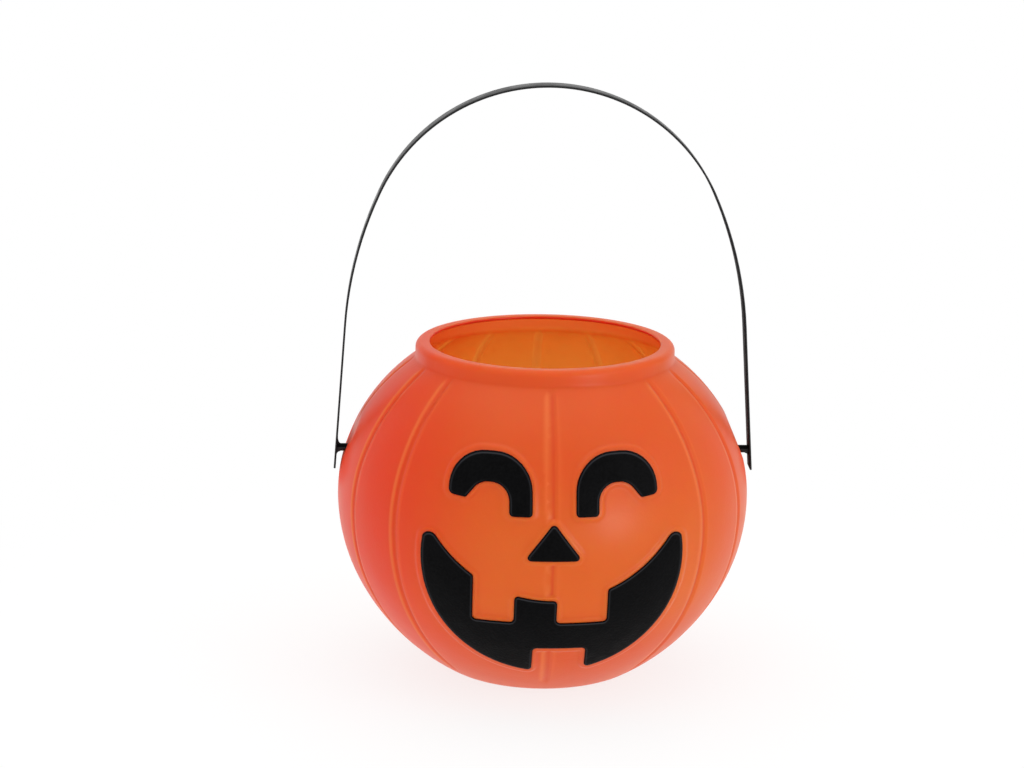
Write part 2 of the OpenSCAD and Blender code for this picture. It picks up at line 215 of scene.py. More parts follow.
def tip_circle():
    """Centre of the circle that rounds the smile's right tip, and where it meets the two curves."""
    rise = TOP_C[1] - SMILE_C[1]
    low, high = SMILE_R - TIP_ROUND, TOP_R + TIP_ROUND
    z = (low**2 - high**2 + rise**2) / (2 * rise)
    x = sqrt(low**2 - z**2)
    return (SMILE_C[0] + x, SMILE_C[1] + z), degrees(atan2(z, x)), degrees(atan2(rise - z, -x))


def smile_corners():
    tip, low_turn, high_turn = tip_circle()
    left_tip = (2 * SMILE_C[0] - tip[0], tip[1])
    corners = arc_points(left_tip, TIP_ROUND, 180 - low_turn, 180 - high_turn, TIP_STEP)
    turn = -high_turn
    for left, right in UPPER_TEETH:
        corners += arc_points(TOP_C, TOP_R, turn, turn_at(TOP_C, TOP_R, left))
        corners += tooth(TOP_C, TOP_R, left, right, UPPER_TIP)
        turn = turn_at(TOP_C, TOP_R, right)
    corners += arc_points(TOP_C, TOP_R, turn, high_turn - 180)
    corners += arc_points(tip, TIP_ROUND, high_turn, low_turn, TIP_STEP)
    left, right = LOWER_TOOTH
    corners += arc_points(SMILE_C, SMILE_R, low_turn, turn_at(SMILE_C, SMILE_R, right))
    corners += tooth(SMILE_C, SMILE_R, right, left, LOWER_TIP)
    return corners + arc_points(SMILE_C, SMILE_R, turn_at(SMILE_C, SMILE_R, left), -180 - low_turn)


right_eye = [(EYE_INSET + x * EYE_W, EYE_BASE + z * EYE_H, r * EYE_W) for x, z, r in EYE_SHARES]
left_eye = [(EYE_SHIFT - x, z, r) for x, z, r in reversed(right_eye)]
right_eye = [(EYE_SHIFT + x, z, r) for x, z, r in right_eye]
nose = [(NOSE_X, NOSE_BASE + NOSE_H, CORNER_R), (NOSE_X + NOSE_W / 2, NOSE_BASE, CORNER_R),
        (NOSE_X - NOSE_W / 2, NOSE_BASE, CORNER_R)]
FACE = {"left_eye": left_eye, "right_eye": right_eye, "nose": nose, "smile": smile_corners()}


def outline_face(bm, corners):
    """A flat face in the XZ plane whose corners are rounded by vertex bevels."""
    points = [bm.verts.new((x, 0, z)) for x, z, _ in corners]
    bm.faces.new(points)
    for i, (x, z, r) in enumerate(corners):
        if r == 0:
            continue
        last, following = corners[i - 1], corners[(i + 1) % len(corners)]
        here = Vector((x, 0, z))
        before = Vector((last[0], 0, last[1]))
        after = Vector((following[0], 0, following[1]))
        bend = (here - before).angle(after - here)
        steps = max(3, ceil(degrees(bend) / CORNER_STEP))
        bmesh.ops.bevel(bm, geom=[points[i]], offset=r * tan(bend / 2), offset_type="OFFSET",
                        segments=steps, profile=0.5, affect="VERTICES")
    return bm.faces[:][0]


def outline_points(corners):
    bm = bmesh.new()
    face = outline_face(bm, corners)
    points = np.array([(v.co.x, v.co.z) for v in face.verts])
    bm.free()
    return points


OUTLINES = {name: outline_points(corners) for name, corners in FACE.items()}
print("outline points:", {name: len(points) for name, points in OUTLINES.items()})


def distance_to_face(x, z):
    """Distance from points to the nearest outline of the face, less than zero inside one."""
    best = np.full(len(x), 1e9)
    for points in OUTLINES.values():
        inside = np.zeros(len(x), bool)
        nearest = np.full(len(x), 1e9)
        for (x0, z0), (x1, z1) in zip(points, np.roll(points, -1, axis=0)):
            dx, dz = x1 - x0, z1 - z0
            t = np.clip(((x - x0) * dx + (z - z0) * dz) / max(dx * dx + dz * dz, 1e-12), 0, 1)
            nearest = np.minimum(nearest, np.hypot(x - x0 - t * dx, z - z0 - t * dz))
            if z0 != z1:
                crosses = ((z0 > z) != (z1 > z)) & (x < x0 + (z - z0) * dx / dz)
                inside ^= crosses
        signed = np.where(inside, -nearest, nearest)
        best = np.minimum(best, signed)
    return best


# %% [markdown]
# ## The pail
#
# The shell is one sheet of plastic. Its profile is spun round the axis, and then the sheet is moved in
# and out: down by 0.6 mm along the pumpkin's grooves, and up by 0.7 mm under the face. Only the parts
# of the mesh that bend sharply are subdivided, which keeps the mesh light. Giving the finished sheet
# its thickness last makes the inside follow the outside, as it does in a real thin moulding.

# %% Sheet of the pail
COLUMNS = 180
ROW, HEEL_ROW = 2.3, 1.6
PUSH_UP_RINGS = (0, 6, 12, 17)
LIP_STEPS = 8


def shell_profile():
    """Radius and height of the outer face, from the middle of the base to the inner edge of the lip."""
    push_r = heel_c[0] - FOOT_RING_W
    top_r = push_r - PUSH_UP_DRAFT
    base = [(r, PUSH_UP_H) for r in (*PUSH_UP_RINGS, top_r - 1.2)]
    # The push-up's two corners are softened by short steps, given from its top and from its foot.
    base += [(top_r - 0.3, PUSH_UP_H - 0.15), (top_r + 0.2, PUSH_UP_H * 0.6)]
    base += [(push_r - 0.3, PUSH_UP_H * 0.16), (push_r + 0.4, 0), (push_r + 3.5, 0)]
    side = []
    for centre, r, first, last in ARCS:
        steps = ceil(radians(last - first) * r / (ROW if r > HEEL_R else HEEL_ROW))
        side += [on(centre, r, first + (last - first) * k / steps) for k in range(steps)]
    side.append((COLLAR_R, collar_foot_h))
    upright = rim_h - COLLAR_ROUND
    collar = [(COLLAR_R, collar_foot_h + (upright - collar_foot_h) * k / 2) for k in (1, 2)]
    turn_c = (COLLAR_R - COLLAR_ROUND, upright)
    collar += [on(turn_c, COLLAR_ROUND, 90 * k / LIP_STEPS) for k in range(1, LIP_STEPS + 1)]
    collar.append((COLLAR_R - LIP_W, rim_h))
    return base + side + collar


def spun_sheet():
    bm = bmesh.new()
    chain = [bm.verts.new((0, -r, z)) for r, z in shell_profile()]
    edges = [bm.edges.new(pair) for pair in zip(chain, chain[1:])]
    bmesh.ops.spin(bm, geom=chain + edges, cent=(0, 0, 0), axis=(0, 0, 1), angle=2 * pi,
                   steps=COLUMNS, use_merge=True)
    bmesh.ops.remove_doubles(bm, verts=bm.verts, dist=0.001)
    return bm


shell = spun_sheet()
print("spun sheet:", len(shell.verts), "vertices,", len(shell.faces), "faces")

# %% [markdown]
# The grooves run from the base to the collar, 14 of them: one down the middle of the face, two on each
# side of it, and the rest evenly round the back. The columns of the mesh that a groove crosses are cut
# into narrow strips, so that the groove gets a round bed.

# %% Strips for the grooves
GROOVE_HALF, GROOVE_DEPTH = 2.1, 0.6
GROOVE_TURNS = [0, 46.7, -46.7, 67.1, -67.1] + [90 + 22.5 * k for k in range(9)]
STRIP_REACH = 2.4


def turn_of(x, y):
    """Degrees round the pail from its front, which looks along -Y."""
    return np.degrees(np.arctan2(x, -y))


def turn_to_groove(turn):
    """Degrees from the nearest groove, less than zero to the left of it."""
    gaps = np.array([(np.asarray(turn) - g + 180) % 360 - 180 for g in GROOVE_TURNS])
    return np.take_along_axis(gaps, np.abs(gaps).argmin(axis=0)[None], axis=0)[0]


def groove_edges(bm):
    chosen = []
    for e in bm.edges:
        a, b = (v.co for v in e.verts)
        if abs(a.z - b.z) > 1e-4 or min(a.xy.length, b.xy.length) < 1:
            continue
        if abs(a.xy.length - b.xy.length) > 1e-4:
            continue
        middle = (a + b) / 2
        if abs(turn_to_groove([turn_of(middle.x, middle.y)])[0]) < STRIP_REACH:
            chosen.append(e)
    return chosen


bmesh.ops.subdivide_edges(shell, edges=groove_edges(shell), cuts=3, use_grid_fill=True)
print("with groove strips:", len(shell.faces), "faces")

# %% [markdown]
# Round the face and the two stud seats the mesh is subdivided as well, in two passes. Each pass takes
# only the faces near the edge that it has to draw.

# %% Finer mesh round the face and the seats
RELIEF_H, RELIEF_FOOT, RELIEF_TOP = 0.7, 2.3, 1.0
PIVOT_H, STUD_R, STUD_PLAY = 87.7, 1.5, 0.3
SEAT_RISE, SEAT_DEPTH = 5.9, 0.7
FACE_REACH, FACE_TURN, FACE_LOW, FACE_HIGH = 60, 75, 8, 116
RELIEF_PASSES, SEAT_PASSES, HOLE_REACH = (2.6, 1.4), (14, 13), 3.5
seat_r, seat_turn = (float(v) for v in skin_at(PIVOT_H + SEAT_RISE))
seat_point = Vector((seat_r - SEAT_DEPTH * cos(seat_turn), 0,
                     PIVOT_H + SEAT_RISE - SEAT_DEPTH * sin(seat_turn)))
seat_out = Vector((cos(seat_turn), 0, sin(seat_turn)))
pivot_x = seat_point.x + (seat_point.z - PIVOT_H) * tan(seat_turn)


def centres(faces):
    return np.array([f.calc_center_median() for f in faces]).reshape(-1, 3)


def refine(bm, wanted):
    """Subdivides once the side faces whose centres are wanted."""
    faces = list(bm.faces)
    keep = wanted(centres(faces))
    # A dictionary keeps the edges in order, so that every run cuts them alike.
    edges = dict.fromkeys(e for f, k in zip(faces, keep) if k for e in f.edges)
    bmesh.ops.subdivide_edges(bm, edges=list(edges), cuts=1, use_grid_fill=True)


def near_relief(reach):
    def wanted(c):
        front = (c[:, 1] < 0) & (np.abs(c[:, 0]) < FACE_REACH)
        front &= (c[:, 2] > FACE_LOW) & (c[:, 2] < FACE_HIGH)
        gap = np.full(len(c), 1e9)
        gap[front] = distance_to_face(c[front, 0], c[front, 2])
        middle = (RELIEF_FOOT + RELIEF_TOP) / 2
        return np.abs(gap - middle) < reach
    return wanted


def near_seat(reach, height):
    def wanted(c):
        return np.hypot(c[:, 1], c[:, 2] - height) < reach
    return wanted


for reach in RELIEF_PASSES:
    refine(shell, near_relief(reach))
for reach in SEAT_PASSES:
    refine(shell, near_seat(reach, seat_point.z))
refine(shell, near_seat(HOLE_REACH, PIVOT_H))
print("refined sheet:", len(shell.faces), "faces")

# %% [markdown]
# Now every vertex of the side goes to its exact place. The height field adds up what the mould adds:
# grooves that fade out at both ends, and the raised face, which covers the grooves. The seats are two
# flats, so what stands out past a flat is pushed back on to it with a softened edge. Two layers of the
# mesh keep where the grooves and their shoulders are, so that the material can paint shade into the
# grooves and a highlight on their shoulders.

# %% Grooves, relief and seats
GROOVE_LOW, GROOVE_HIGH = (6, 9.5), (collar_foot_h - 1.8, collar_foot_h - 0.6)
SEAT_SOFT = 0.12
# The shoulder mark is a painted highlight, stronger on the left side of each groove, which faces the
# stronger lamp on the right.
LEFT_SHOULDER, RIGHT_SHOULDER, SHOULDER_W, RIGHT_SHARE = 0.95, 1.1, 0.45, 0.45
TINY = 0.02


def ramp(value, start, end):
    t = np.clip((value - start) / (end - start), 0, 1)
    return t * t * (3 - 2 * t)


def shell_height(turn, z, radius):
    """How far the mould's surface lies above the plain pumpkin, and what is groove or its shoulder."""
    across = radius * np.radians(turn_to_groove(turn)) / GROOVE_HALF
    bed = 0.5 + 0.5 * np.cos(pi * np.clip(across, -1, 1))
    shoulder = np.exp(-((across + LEFT_SHOULDER) / SHOULDER_W) ** 2)
    shoulder += RIGHT_SHARE * np.exp(-((across - RIGHT_SHOULDER) / SHOULDER_W) ** 2)
    fade = ramp(z, *GROOVE_LOW) * (1 - ramp(z, *GROOVE_HIGH))
    height = -GROOVE_DEPTH * bed * fade
    x = radius * np.sin(np.radians(turn))
    front = (np.abs(turn) < FACE_TURN) & (z > FACE_LOW) & (z < FACE_HIGH)
    raised = np.zeros(len(z))
    raised[front] = 1 - ramp(distance_to_face(x[front], z[front]), RELIEF_TOP, RELIEF_FOOT)
    marks = {"groove": bed * fade * (1 - raised), "shoulder": shoulder * fade * (1 - raised)}
    return height * (1 - raised) + RELIEF_H * raised, marks


def shape_sheet(bm):
    co = np.array([v.co for v in bm.verts])
    side = (co[:, 2] > TINY) & (co[:, 2] < collar_foot_h - TINY)
    side &= np.hypot(co[:, 0], co[:, 1]) > heel_c[0] + 0.5
    z, turn = co[side, 2], turn_of(co[side, 0], co[side, 1])
    radius, lean = skin_at(z)
    height, marks = shell_height(turn, z, radius)
    out = radius + height * np.cos(lean)
    t = np.radians(turn)
    co[side] = np.stack([out * np.sin(t), -out * np.cos(t), z + height * np.sin(lean)], axis=1)
    for sign in (1, -1):
        past = (sign * co[:, 0] - seat_point.x) * seat_out.x + (co[:, 2] - seat_point.z) * seat_out.z
        push = np.where(past > SEAT_SOFT, past, (past + SEAT_SOFT) ** 2 / (4 * SEAT_SOFT))
        push = np.where((past > -SEAT_SOFT) & side, push, 0)
        co[:, 0] -= sign * push * seat_out.x
        co[:, 2] -= push * seat_out.z
    for v, place in zip(bm.verts, co):
        v.co = place
    for name, mark in marks.items():
        share = np.zeros(len(co))
        share[side] = mark
        layer = bm.verts.layers.float.new(name)
        for v, value in zip(bm.verts, share):
            v[layer] = value


shape_sheet(shell)
print("seat leans by", round(degrees(seat_turn), 1), "degrees")

# %% [markdown]
# A round hole is opened in each seat for the stud: the faces inside it are deleted, and the ragged
# edge that they leave is moved on to the circle. Then the sheet gets its wall, and a bevel rounds the
# edge of the lip and the crease where the collar meets the shoulder.

# %% Stud holes and wall
HOLE_R = STUD_R + STUD_PLAY
SIDE_X = 60
CREASE_ROUND, LIP_ROUND = 0.7, 0.55


def open_hole(bm, sign):
    def reach(point):
        return sqrt(point.y**2 + (point.z - PIVOT_H) ** 2)

    inside = [f for f in bm.faces if sign * f.calc_center_median().x > SIDE_X
              and reach(f.calc_center_median()) < HOLE_R]
    bmesh.ops.delete(bm, geom=inside, context="FACES")
    rim = [v for v in bm.verts if v.is_boundary and sign * v.co.x > SIDE_X]
    for v in rim:
        share = HOLE_R / reach(v.co)
        v.co.y *= share
        v.co.z = PIVOT_H + (v.co.z - PIVOT_H) * share
    return len(rim)


def ring_edges(bm, radius, height):
    def on_ring(v):
        return abs(v.co.xy.length - radius) < TINY and abs(v.co.z - height) < TINY
    return [e for e in bm.edges if all(on_ring(v) for v in e.verts)]


holes = [open_hole(shell, sign) for sign in (1, -1)]
crease = ring_edges(shell, COLLAR_R, collar_foot_h)
bmesh.ops.bevel(shell, geom=crease, offset=CREASE_ROUND, segments=3, profile=0.5, affect="EDGES")
bmesh.ops.recalc_face_normals(shell, faces=shell.faces)
bmesh.ops.solidify(shell, geom=shell.faces[:], thickness=WALL)
lip = ring_edges(shell, COLLAR_R - LIP_W, rim_h) + ring_edges(shell, COLLAR_R - LIP_W, rim_h - WALL)
bmesh.ops.bevel(shell, geom=lip, offset=LIP_ROUND, segments=3, profile=0.5, affect="EDGES")
print("hole edges:", holes, "lip edges:", len(lip))
pail = make_piece(shell, "pail_shell", "pail", "pail_body")

# %% [markdown]
# ## The black face
#
# The black finish covers only the flat tops of the raised face. Each part starts as its flat outline,
# gets its thickness with an extrude and its soft edge with a bevel. An inset draws a line beside that
# edge, which carries a painted highlight where the edge looks up or sideways. A grid of cuts then lets
# the layer bend, and each point moves straight back on to the pumpkin's surface, at its own height
# above it.

# %% Black layers
BLACK_T, BLACK_SEAT = 0.8, 0.2
EDGE_ROUND, RIM_W, RIM_SIDE_HIGHLIGHT = 0.62, 0.5, 0.5
FLAT_FRONT, FIRST_SLOPE, LAST_SLOPE, ON_FRONT = 0.99, 0.995, 0.9, 0.005
GRID = 2.6


def grid_cuts(bm):
    for axis in (0, 2):
        normal = (1, 0, 0) if axis == 0 else (0, 0, 1)
        low = min(v.co[axis] for v in bm.verts)
        high = max(v.co[axis] for v in bm.verts)
        count = ceil((high - low) / GRID)
        for k in range(1, count):
            place = [0, 0, 0]
            place[axis] = low + (high - low) * k / count
            bmesh.ops.bisect_plane(bm, geom=bm.verts[:] + bm.edges[:] + bm.faces[:], dist=1e-5,
                                   plane_co=place, plane_no=normal)


def wrap_on_shell(bm, base):
    """Moves a flat plate on to the front of the shell. Its depth in -Y becomes height above it."""
    co = np.array([v.co for v in bm.verts])
    height = base - co[:, 1]
    radius = np.array([float(skin_at(z, h)[0]) for z, h in zip(co[:, 2], height)])
    co[:, 1] = -np.sqrt(radius**2 - co[:, 0] ** 2)
    for v, place in zip(bm.verts, co):
        v.co = place


def mark_rim_highlight(bm):
    """Marks, for a painted highlight, the line where the flat front meets its rounded edge, where that
    looks up or sideways.
    """
    front = max(bm.faces, key=lambda f: f.calc_area() * (f.normal.y < -FLAT_FRONT))
    bmesh.ops.inset_region(bm, faces=[front], thickness=RIM_W, use_even_offset=True)
    bm.normal_update()
    rim = bm.verts.layers.float.new("rim")
    for v in bm.verts:
        slopes = [f.normal for f in v.link_faces if -FIRST_SLOPE < f.normal.y < -LAST_SLOPE]
        if abs(v.co.y + BLACK_T) < ON_FRONT and slopes:
            out = sum(slopes, Vector((0, 0, 0)))
            out.y = 0
            out.normalize()
            # The painted highlight is strongest where the edge looks up, half as strong where it looks
            # sideways.
            v[rim] = max(out.z, RIM_SIDE_HIGHLIGHT * abs(out.x), 0)


def black_layer(name):
    bm = bmesh.new()
    face = outline_face(bm, FACE[name])
    if face.normal.y > 0:
        face.normal_flip()
    made = bmesh.ops.extrude_face_region(bm, geom=[face], use_keep_orig=True)["geom"]
    front = [v for v in made if isinstance(v, bmesh.types.BMVert)]
    bmesh.ops.translate(bm, verts=front, vec=(0, -BLACK_T, 0))
    edges = [e for e in made if isinstance(e, bmesh.types.BMEdge)]
    bmesh.ops.bevel(bm, geom=edges, offset=EDGE_ROUND, segments=4, profile=0.5, affect="EDGES",
                    clamp_overlap=True)
    mark_rim_highlight(bm)
    grid_cuts(bm)
    wrap_on_shell(bm, RELIEF_H - BLACK_SEAT)
    return make_piece(bm, name + "_black", "pail", name)


black_pieces = [black_layer(name) for name in FACE]

# %% [markdown]
# ## The handle
#
# The strap is a thin band that springs outwards a little above the studs and bends over in one arch.
# Its middle line is a straight leg, a long bow and a round crown. Extruding that line sideways makes
# the band, solidify gives it its thickness, and a small bevel breaks its edges as a mould does.

# %% Strap
STRAP_T, STRAP_W, STAND_OFF = 0.8, 9, 3.4
LEAN, LEG_L, BOW_R, CROWN_START, TAIL_L = 4.1, 49.5, 148, 24.8, 7.5
EDGE_BREAK = 0.22
strap_x = pivot_x + STAND_OFF + STRAP_T / 2


def strap_line():
    """The right half of the strap's outer line from its tail up to its top."""
    leg_end = (strap_x - LEG_L * sin(radians(LEAN)), PIVOT_H + LEG_L * cos(radians(LEAN)))
    tail_end = (strap_x + TAIL_L * sin(radians(LEAN)), PIVOT_H - TAIL_L * cos(radians(LEAN)))
    bow_c = on(leg_end, -BOW_R, LEAN)
    bow_end = on(bow_c, BOW_R, CROWN_START)
    crown_r = bow_end[0] / cos(radians(CROWN_START))
    crown_c = on(bow_end, -crown_r, CROWN_START)
    half = STRAP_T / 2
    line = []
    for k in range(4):
        line.append(tuple(a + (b - a) * k / 4 for a, b in zip(tail_end, leg_end)))
    line = [on(p, half, LEAN) for p in line]
    arcs = ((bow_c, BOW_R, LEAN, CROWN_START), (crown_c, crown_r, CROWN_START, 90))
    for centre, r, first, last in arcs:
        steps = ceil((last - first) / 2)
        line += [on(centre, r + half, first + (last - first) * k / steps) for k in range(steps)]
    line.append((0, crown_c[1] + crown_r + half))
    return line


def add_strap(bm):
    right = strap_line()
    line = right + [(-x, z) for x, z in reversed(right[:-1])]
    points = [bm.verts.new((x, -STRAP_W / 2, z)) for x, z in line]
    edges = [bm.edges.new(pair) for pair in zip(points, points[1:])]
    made = bmesh.ops.extrude_edge_only(bm, edges=edges)["geom"]
    far = [v for v in made if isinstance(v, bmesh.types.BMVert)]
    bmesh.ops.translate(bm, verts=far, vec=(0, STRAP_W, 0))
    if sum(f.normal.dot(f.calc_center_median() - Vector((0, 0, 100))) for f in bm.faces) < 0:
        bmesh.ops.reverse_faces(bm, faces=bm.faces)
    bmesh.ops.solidify(bm, geom=bm.faces[:], thickness=STRAP_T)
    bm.normal_update()
    sharp = [e for e in bm.edges if e.calc_face_angle(0) > radians(60)]
    bmesh.ops.bevel(bm, geom=sharp, offset=EDGE_BREAK, segments=2, profile=0.5, affect="EDGES")


# %% [markdown]
# At each end a stud points inwards through the pail's wall. Its head is a cone, split down the middle
# so that its halves can close up while it is pushed through the hole. A small web below each stud, and
# a longer one above the left stud, brace it against the strap.

# %% Studs
WEB_HIGH, WEB_LOW, WEB_L, WEB_T = 3.1, 1.5, 1.3, 1
HEAD_D, HEAD_TIP_D, HEAD_L, HEAD_GAP, SPLIT_W = 5.4, 2.4, 3.2, 0.4, 0.8
ROUND_STEPS, WEB_STEPS = 32, 6
head_x = pivot_x - WALL / cos(seat_turn) - HEAD_GAP - HEAD_D / 2 * tan(seat_turn)


def along_x(x, length, sign):
    """Stands a cone, made along Z about its middle, on the pivot line, pointing outwards."""
    turn = Matrix.Rotation(sign * pi / 2, 4, "Y")
    return Matrix.Translation((sign * (x + length / 2), 0, PIVOT_H)) @ turn


def add_stud(bm, sign):
    shaft = strap_x - head_x
    bmesh.ops.create_cone(bm, cap_ends=True, segments=ROUND_STEPS, radius1=STUD_R, radius2=STUD_R,
                          depth=shaft, matrix=along_x(head_x, shaft, sign))
    for half in (1, -1):
        head = bmesh.ops.create_cone(bm, cap_ends=True, segments=ROUND_STEPS, radius1=HEAD_TIP_D / 2,
                                     radius2=HEAD_D / 2, depth=HEAD_L,
                                     matrix=along_x(head_x - HEAD_L, HEAD_L, sign))["verts"]
        faces = dict.fromkeys(f for v in head for f in v.link_faces)
        edges = dict.fromkeys(e for v in head for e in v.link_edges)
        cut = bmesh.ops.bisect_plane(bm, geom=head + list(edges) + list(faces), dist=1e-5,
                                     plane_co=(0, half * SPLIT_W / 2, 0), plane_no=(0, half, 0),
                                     clear_inner=True)["geom_cut"]
        bmesh.ops.contextual_create(bm, geom=[e for e in cut if isinstance(e, bmesh.types.BMEdge)])


def add_web(bm, sign, way, height):
    """A web with a hollow side, from the stud up the strap (way 1) or down it (way -1)."""
    reach, root = STUD_R + height, STRAP_T / 2 + WEB_L
    turns = [radians(90 * k / WEB_STEPS) for k in range(WEB_STEPS + 1)]
    corners = [(0, 0), (0, way * reach)]
    corners += [(WEB_L * cos(a) - root, way * (reach - height * sin(a))) for a in turns]
    corners.append((-root, 0))
    plate = bm.faces.new([bm.verts.new((x, -WEB_T / 2, z)) for x, z in corners])
    made = bmesh.ops.extrude_face_region(bm, geom=[plate], use_keep_orig=True)["geom"]
    far = [v for v in made if isinstance(v, bmesh.types.BMVert)]
    bmesh.ops.translate(bm, verts=far, vec=(0, WEB_T, 0))
    place = Matrix.Translation((strap_x, 0, PIVOT_H)) @ Matrix.Rotation(radians(-LEAN), 4, "Y")
    if sign < 0:
        place = Matrix.Scale(-1, 4, (1, 0, 0)) @ place
    bmesh.ops.transform(bm, matrix=place, verts=far + list(plate.verts))


def make_handle():
    bm = bmesh.new()
    add_strap(bm)
    for sign in (1, -1):
        add_stud(bm, sign)
        add_web(bm, sign, -1, WEB_LOW)
    add_web(bm, -1, 1, WEB_HIGH)
    return make_piece(bm, "strap_handle", "handle", "handle")


handle = make_handle()

# %% [markdown]
# ## Shared effects
#
# Three effects serve more than one plastic, so each is a node group. One is slow mottling, the uneven
# look of thin plastic. The next is the fine grain of a sprayed or spark-finished mould. The last uses
# both: the surface of thin blown plastic, which ripples slowly and has a fine skin on top.

# %% Node groups
CLOUD_RANGE, GRAIN_RANGE = (0.32, 0.68), (0.3, 0.7)
RIPPLE_SCALE, RIPPLE_DEPTH, RIPPLE_STRENGTH = 24, 0.0012, 0.12
SKIN_SCALE, SKIN_DEPTH, SKIN_STRENGTH = 900, 0.00006, 0.25


def new_group(name, inputs, output, kind="NodeSocketFloat"):
    tree = bpy.data.node_groups.new(name, "ShaderNodeTree")
    for socket, value in inputs:
        made = tree.interface.new_socket(socket, in_out="INPUT", socket_type="NodeSocketFloat")
        made.default_value = value
    tree.interface.new_socket(output, in_out="OUTPUT", socket_type=kind)
    return tree, tree.nodes.new("NodeGroupInput"), tree.nodes.new("NodeGroupOutput")


def noise(tree, vector, scale, detail=2.0, roughness=0.5):
    node = tree.nodes.new("ShaderNodeTexNoise")
    node.inputs["Detail"].default_value = detail
    node.inputs["Roughness"].default_value = roughness
    tree.links.new(vector, node.inputs["Vector"])
    if isinstance(scale, bpy.types.NodeSocket):
        tree.links.new(scale, node.inputs["Scale"])
    else:
        node.inputs["Scale"].default_value = scale
    return node.outputs["Fac"]


def remap(tree, value, low, high, to_low=0.0, to_high=1.0):
    node = tree.nodes.new("ShaderNodeMapRange")
    node.interpolation_type = "SMOOTHSTEP"
    tree.links.new(value, node.inputs["Value"])
    limits = {"From Min": low, "From Max": high, "To Min": to_low, "To Max": to_high}
    for name, number in limits.items():
        node.inputs[name].default_value = number
    return node.outputs["Result"]


def mottle_group():
    tree, inside, out = new_group("mottle", [("Scale", 20.0)], "Cloud")
    where = tree.nodes.new("ShaderNodeTexCoord").outputs["Object"]
    cloud = noise(tree, where, inside.outputs["Scale"], 3.0, 0.55)
    tree.links.new(remap(tree, cloud, *CLOUD_RANGE), out.inputs["Cloud"])
    return tree


def grain_group():
    tree, inside, out = new_group("grain", [("Scale", 1500.0)], "Height")
    where = tree.nodes.new("ShaderNodeTexCoord").outputs["Object"]
    fine = noise(tree, where, inside.outputs["Scale"], 2.0, 0.6)
    tree.links.new(remap(tree, fine, *GRAIN_RANGE), out.inputs["Height"])
    return tree


MOTTLE, GRAIN = mottle_group(), grain_group()


def use_group(tree, group, value):
    """Places a group with its one input set, and gives its one output."""
    node = tree.nodes.new("ShaderNodeGroup")
    node.node_tree = group
    node.inputs[0].default_value = value
    return node.outputs[0]


def bump(tree, height, distance, strength, before=None):
    node = tree.nodes.new("ShaderNodeBump")
    node.inputs["Distance"].default_value = distance
    tree.links.new(height, node.inputs["Height"])
    if isinstance(strength, bpy.types.NodeSocket):
        tree.links.new(strength, node.inputs["Strength"])
    else:
        node.inputs["Strength"].default_value = strength
    if before is not None:
        tree.links.new(before, node.inputs["Normal"])
    return node.outputs["Normal"]


def blown_skin_group():
    skin_input = ("Skin", SKIN_STRENGTH)
    tree, inside, out = new_group("blown_skin", [skin_input], "Normal", "NodeSocketVector")
    cloud, grain = use_group(tree, MOTTLE, RIPPLE_SCALE), use_group(tree, GRAIN, SKIN_SCALE)
    ripple = bump(tree, cloud, RIPPLE_DEPTH, RIPPLE_STRENGTH)
    skin = bump(tree, grain, SKIN_DEPTH, inside.outputs["Skin"], ripple)
    tree.links.new(skin, out.inputs["Normal"])
    return tree


BLOWN_SKIN = blown_skin_group()
print("node groups:", [group.name for group in bpy.data.node_groups])

# %% [markdown]
# ## Colours and helpers
#
# The colours are linear values for red, green and blue. A plastic is built up in steps: a mottled base,
# then one tint after another, each laid on by a mask. These helpers make the nodes for such a step.

# %% Colours and mask helpers
COLOURS = {
    "orange": (0.71, 0.100, 0.0080),
    "orange_deep": (0.74, 0.090, 0.0065),
    "orange_low_light": (0.74, 0.134, 0.0085),
    "orange_foot": (0.71, 0.086, 0.0060),
    "orange_left_shade": (0.755, 0.042, 0.0022),
    "orange_shoulder_highlight": (0.80, 0.170, 0.0300),
    "orange_groove_shade": (0.72, 0.072, 0.0045),
    "orange_seat_shade": (0.79, 0.018, 0.0016),
    # The inside colours are a brighter red than the outside's: painted light that lifts the inside of
    # the pail.
    "inside": (0.98, 0.070, 0.0120),
    "inside_deep": (0.97, 0.062, 0.0100),
    "inside_left_shade": (0.97, 0.036, 0.0090),
    "inside_collar_shade": (0.95, 0.026, 0.0080),
    "inside_ridge_highlight": (1.00, 0.110, 0.0160),
    "face": (0.0010, 0.0010, 0.0012),
    "face_dust": (0.0022, 0.0022, 0.0026),
    "face_speck": (0.0030, 0.0030, 0.0034),
    "face_rim_highlight": (0.0400, 0.0400, 0.0460),
    "strap": (0.0030, 0.0030, 0.0034),
    "strap_scuff": (0.0060, 0.0060, 0.0066),
}
SEAT_STRETCH, SEAT_PLACE, SEAT_FADE = (1, 0.5, 1), (0.079, 0, 0.085), (0.005, 0.015)
BACK_FADE = (0, 0.050)


def new_material(name):
    material = bpy.data.materials.new(name)
    material.use_nodes = True
    tree = material.node_tree
    return material, tree, tree.nodes["Principled BSDF"]


def blend_colours(tree, factor, first, second):
    node = tree.nodes.new("ShaderNodeMix")
    node.data_type = "RGBA"
    tree.links.new(factor, node.inputs["Factor"])
    node.inputs["A"].default_value = (*COLOURS[first], 1)
    node.inputs["B"].default_value = (*COLOURS[second], 1)
    return node.outputs["Result"]


def attribute(tree, name):
    node = tree.nodes.new("ShaderNodeAttribute")
    node.attribute_name = name
    return node.outputs["Fac"]


def axis_value(tree, axis):
    split = tree.nodes.new("ShaderNodeSeparateXYZ")
    where = tree.nodes.new("ShaderNodeTexCoord")
    tree.links.new(where.outputs["Object"], split.inputs[0])
    return split.outputs[axis]


